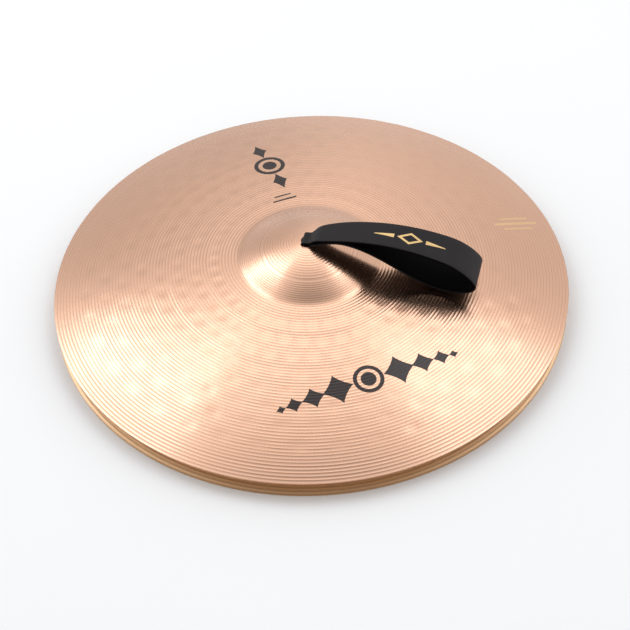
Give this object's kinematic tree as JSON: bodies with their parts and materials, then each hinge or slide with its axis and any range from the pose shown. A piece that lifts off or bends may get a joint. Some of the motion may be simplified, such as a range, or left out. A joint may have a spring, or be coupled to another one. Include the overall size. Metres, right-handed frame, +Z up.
{
  "type": "hand cymbals",
  "caption": "Nested pair of lathed bronze hand cymbals, each with a bell, a bowed plate and a padded leather hand strap tied through the centre hole.",
  "frame": {"origin": "on the floor, at the middle of the lower cymbal's rim", "axes": "+Z up along the common axis of both cymbals; +X along the upper hand strap, from the hole towards its loop"},
  "size_m": [0.4064, 0.4064, 0.0731],
  "materials": {
    "bronze": "lathed and hammered rose bronze, bright",
    "bronze_shaded": "lathed and hammered bronze, bright",
    "strap_leather": "smooth black, low sheen",
    "strap_lining": "dull black, napped",
    "washer_leather": "raw dark leather"
  },
  "bodies": {
    "lower": {"lower_cymbal": "bronze_shaded"},
    "lower_neck": {"lower_washer": "washer_leather", "lower_knot": "strap_leather", "lower_tails": "strap_leather"},
    "lower_loop": {"lower_strap_cover": "strap_leather", "lower_strap_lining": "strap_lining"},
    "upper": {"upper_cymbal": "bronze"},
    "upper_neck": {"upper_washer": "washer_leather", "upper_knot": "strap_leather", "upper_tails": "strap_leather"},
    "upper_loop": {"upper_strap_cover": "strap_leather", "upper_strap_lining": "strap_lining"}
  },
  "joints": [
    {"name": "upper_lift", "type": "slide", "parent": "lower", "child": "upper", "axis": [0, 0, 1], "range_m": [0, 0.25]},
    {"name": "upper_strap_swivel", "type": "hinge", "parent": "upper", "child": "upper_neck", "pos_m": [0, 0, 0.05], "axis": [0, 0, 1], "continuous": true},
    {"name": "upper_strap_raise", "type": "hinge", "parent": "upper_neck", "child": "upper_loop", "pos_m": [0, 0, 0.05815], "axis": [0, -1, 0], "range_deg": [0, 90]},
    {"name": "lower_strap_swivel", "type": "hinge", "parent": "lower", "child": "lower_neck", "pos_m": [0, 0, 0.035], "axis": [0, 0, 1], "continuous": true},
    {"name": "lower_strap_raise", "type": "hinge", "parent": "lower_neck", "child": "lower_loop", "pos_m": [0, 0, 0.04355], "axis": [0, -1, 0], "range_deg": [0, 90]}
  ],
  "couplings": [
    {"joint": "lower_strap_raise", "follows": "upper_lift", "rad_per_m": 6.2}
  ]
}
